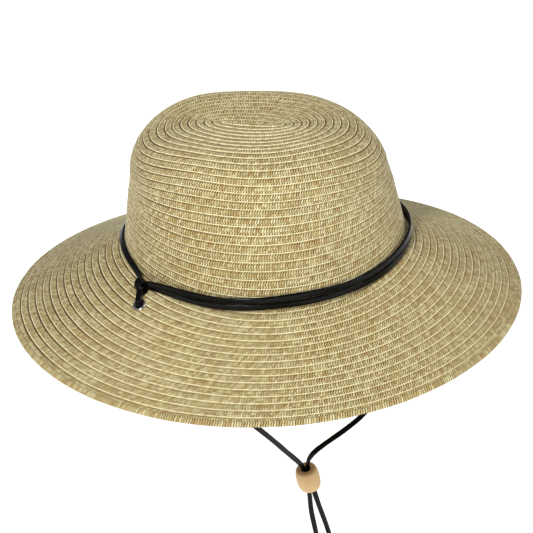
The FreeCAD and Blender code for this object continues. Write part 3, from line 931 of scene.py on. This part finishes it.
for side, angle in KNOTS.items():
    matrix = EYELET_FRAMES[side]
    knot_foot = brim_point(angle, KNOT_REACH + 1.0) + [0, 0, KNOT_LIFT - 1.0]
    over = in_frame(matrix, 0, 0, 2.2)
    points = [knot_foot, (knot_foot + over) / 2 + [0, 0, 1.2], over,
              in_frame(matrix, 0, 0, -1.5), PIVOTS[side]]
    line, along = spread_evenly(nurbs_line(points) / MM, 0.5)
    across = np.repeat(np.cross(line[-1] - line[0], VIEW_SIDE)[None], len(line), axis=0)
    bunch_at = along[np.argmin(np.linalg.norm(line - in_frame(matrix, 0, 0, 0.5), axis=1))]
    riser = swept(f"riser_{side}", line, across, riser_sections(along, bunch_at))
    dress(riser, lace)
    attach(riser, "hat")
    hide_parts(f"lace_riser_{side}")


# ------------------------------------------------------------------ chin cord
END_RADIUS = 1.6
END_STEPS = np.array([0.98, 0.8, 0.5])      # the rounded end's rings, as shares of its radius


def capped(line, along, radius):
    """Extra rings that round the lace's first end off."""
    backward = unit(line[0] - line[1])
    extra = line[0] + backward * (END_STEPS * radius)[:, None]
    return np.concatenate([extra, line]), np.concatenate([-END_STEPS * radius, along])


def chin_lace(name, points, node, twist, seed, thin, round_start):
    route = nurbs_line(points)
    line, along = spread_evenly(route / MM, 0.9)
    sections = lace_sections(along, round_start, *thin(along[-1]), seed)
    across = np.cross(np.gradient(line, axis=0), ASIDE)
    across = twisted(line, across, twist(along, along[-1]))
    if round_start:
        extended, longer = capped(line, along, END_RADIUS)
        shrink = np.sqrt(1 - END_STEPS ** 2)[:, None, None]
        sections = np.concatenate([sections[:1] * shrink, sections])
        across = np.concatenate([np.repeat(across[:1], len(END_STEPS), axis=0), across])
        piece = swept(name, extended, across, sections, along=longer)
    else:
        piece = swept(name, line, across, sections, along=along)
    dress(piece, lace)
    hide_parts(node)
    return piece, route


def left_twist(along, total):
    return 0.25 * np.sin(along / 40.0)


def right_twist(along, total):
    turned_on = 0.25 * smoothed(along, total - 60, total - 35)
    turned_back = 1.2 * smoothed(along, total - 28, total - 8)
    return 0.95 + turned_on - turned_back


leg_parts = [
    ("left", LEFT_LEG, -LACE_OFFSET, left_twist, 81),
    ("right", RIGHT_LEG, LACE_OFFSET, right_twist, 85),
]
for side, route, offset, twist, seed in leg_parts:
    points = [PIVOTS[side]] + [cord_point(*p) for p in route]
    points += [bead_point(-3.0, offset), bead_point(6.0, offset)]
    leg, line = chin_lace(f"chin_lace_{side}", points, f"chin_leg_{side}", twist, seed,
                          lambda total: (total - 16.0, total - 8.0), True)
    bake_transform(leg)


def overhand_knot(name, centre, downward, seed):
    """A small tight knot in the flat lace, with the lace's cut end below it."""
    turn = np.arange(150) / 150 * TURN
    loop = np.stack([np.sin(turn) + 2 * np.sin(2 * turn), np.cos(turn) - 2 * np.cos(2 * turn),
                     -1.6 * np.sin(3 * turn)], axis=-1) * [0.72, 0.72, 1.25]
    side = unit(np.cross(downward, ASIDE))
    axes = np.stack([side, np.cross(downward, side), downward])
    loop = loop @ axes + centre
    flat = rounded_section(1.35, 0.75, count=12)
    across = np.cross(np.roll(loop, -1, axis=0) - loop, loop - centre)
    tight = swept(f"{name}_loop", loop, across, np.repeat(flat[None], len(loop), axis=0), True)
    stub_line = centre + downward * np.linspace(0, 9.5, 14)[:, None]
    stub = swept(f"{name}_stub", stub_line, np.repeat(side[None], 14, axis=0),
                 np.repeat(rounded_section(1.9, 0.8)[None], 14, axis=0))
    return joined(name, [tight, stub])


tail_parts = [
    ("left", LEFT_TAIL, -LACE_OFFSET, 91),
    ("right", RIGHT_TAIL, LACE_OFFSET, 95),
]
for side, route, offset, seed in tail_parts:
    points = [bead_point(6.0, offset), bead_point(22.0, offset)] + [cord_point(*p) for p in route]
    turned_more = 0.3 if side == "left" else 0.95

    def tail_twist(along, total, amount=turned_more):
        return amount * smoothed(along, 16.0, 34.0)

    tail, line = chin_lace(f"chin_tail_lace_{side}", points, f"chin_tail_{side}", tail_twist, seed,
                           lambda total: (20.0, 12.0), False)
    end = cord_point(*route[-1])
    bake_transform(tail)
    knot = overhand_knot(f"tail_end_{side}", end, unit(end - cord_point(*route[-2])), seed + 2)
    dress(knot, lace)
    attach(knot, "chin_loop")
    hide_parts(f"tail_knot_{side}")


# ------------------------------------------------------------------ bead
BEAD_HALF_OUTLINE = [(9.2, 0.0), (9.19, 1.5), (9.1, 3.2), (8.93, 5.0), (8.65, 6.8), (8.3, 8.2),
                     (7.85, 9.2), (7.25, 9.75), (6.4, 10.0), (4.6, 9.98), (4.0, 9.8), (3.75, 9.4),
                     (3.75, 5.0)]


def bead_matrix():
    z = -BEAD_AXIS
    matrix = np.eye(4)
    matrix[:3, 2] = z
    matrix[:3, 0] = BEAD_SIDE
    matrix[:3, 1] = np.cross(z, BEAD_SIDE)
    matrix[:3, 3] = BEAD_MIDDLE
    return matrix


upper_half = BEAD_HALF_OUTLINE[::-1]
lower_half = [(radius, -height) for radius, height in BEAD_HALF_OUTLINE[1:]]
bead = lathe("bead_barrel", upper_half + lower_half, bead_matrix())
wood = wood_material("wood", Matrix(bead_matrix().tolist()))
dress(bead, wood)
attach(bead, "bead")
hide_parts("wood_bead")

# ------------------------------------------------------------------ floor, light, camera
FLOOR_HEIGHT = -0.325


def make_floor():
    size = 6.0
    corners = [(-size, -size, 0), (size, -size, 0), (size, size, 0), (-size, size, 0)]
    mesh = bpy.data.meshes.new("floor")
    mesh.from_pydata(corners, [], [(0, 1, 2, 3)])
    floor = bpy.data.objects.new("floor", mesh)
    floor.location.z = FLOOR_HEIGHT
    bpy.context.scene.collection.objects.link(floor)
    n = Nodes("floor")
    n.set(Base_Color=colour(0.93, 0.93, 0.93), Roughness=0.9, Specular_IOR_Level=0.1,
          Emission_Color=colour(1.0, 1.0, 1.0), Emission_Strength=0.75)
    mesh.materials.append(n.material)


def area_light(name, place, target, size, power):
    data = bpy.data.lights.new(name, "AREA")
    data.shape = "DISK"
    data.size = size
    data.energy = power
    light = bpy.data.objects.new(name, data)
    aim(light, np.array(place), np.array(target))
    bpy.context.scene.collection.objects.link(light)


def aim(thing, place, target, roll=0.0):
    """Puts a light or camera at a place, looking at the target, turned about its view."""
    back = unit(place - target)
    right = unit(np.cross([0, 0, 1], back))
    up = np.cross(back, right)
    turned_right = math.cos(roll) * right + math.sin(roll) * up
    turned_up = -math.sin(roll) * right + math.cos(roll) * up
    matrix = np.eye(4)
    matrix[:3, 0], matrix[:3, 1], matrix[:3, 2], matrix[:3, 3] = turned_right, turned_up, back, place
    thing.matrix_world = Matrix(matrix.tolist())


make_floor()
world = bpy.data.worlds.new("studio")
world.use_nodes = True
world.node_tree.nodes["Background"].inputs["Color"].default_value = (1.0, 1.0, 1.0, 1.0)
world.node_tree.nodes["Background"].inputs["Strength"].default_value = 0.27
bpy.context.scene.world = world
area_light("key", (1.2, -0.5, 1.2), (0, 0, 0), 0.3, 26.0)
area_light("fill", (0.5, 1.2, 1.4), (0, 0, 0), 1.0, 13.0)
bpy.context.scene.view_settings.view_transform = "Standard"

camera_data = bpy.data.cameras.new("camera")
camera_data.sensor_width = 36.0
camera_data.lens = 123.3
camera = bpy.data.objects.new("camera", camera_data)
bpy.context.scene.collection.objects.link(camera)
CAMERA_RISE, CAMERA_ROLL = math.radians(29.73), math.radians(-2.893)
CAMERA_DISTANCE = 1.3
TARGET = np.array([0.0, -0.0004, -0.0206])
toward_camera = np.array([math.cos(CAMERA_RISE), 0, math.sin(CAMERA_RISE)])
aim(camera, TARGET + CAMERA_DISTANCE * toward_camera, TARGET, CAMERA_ROLL)
bpy.context.scene.camera = camera
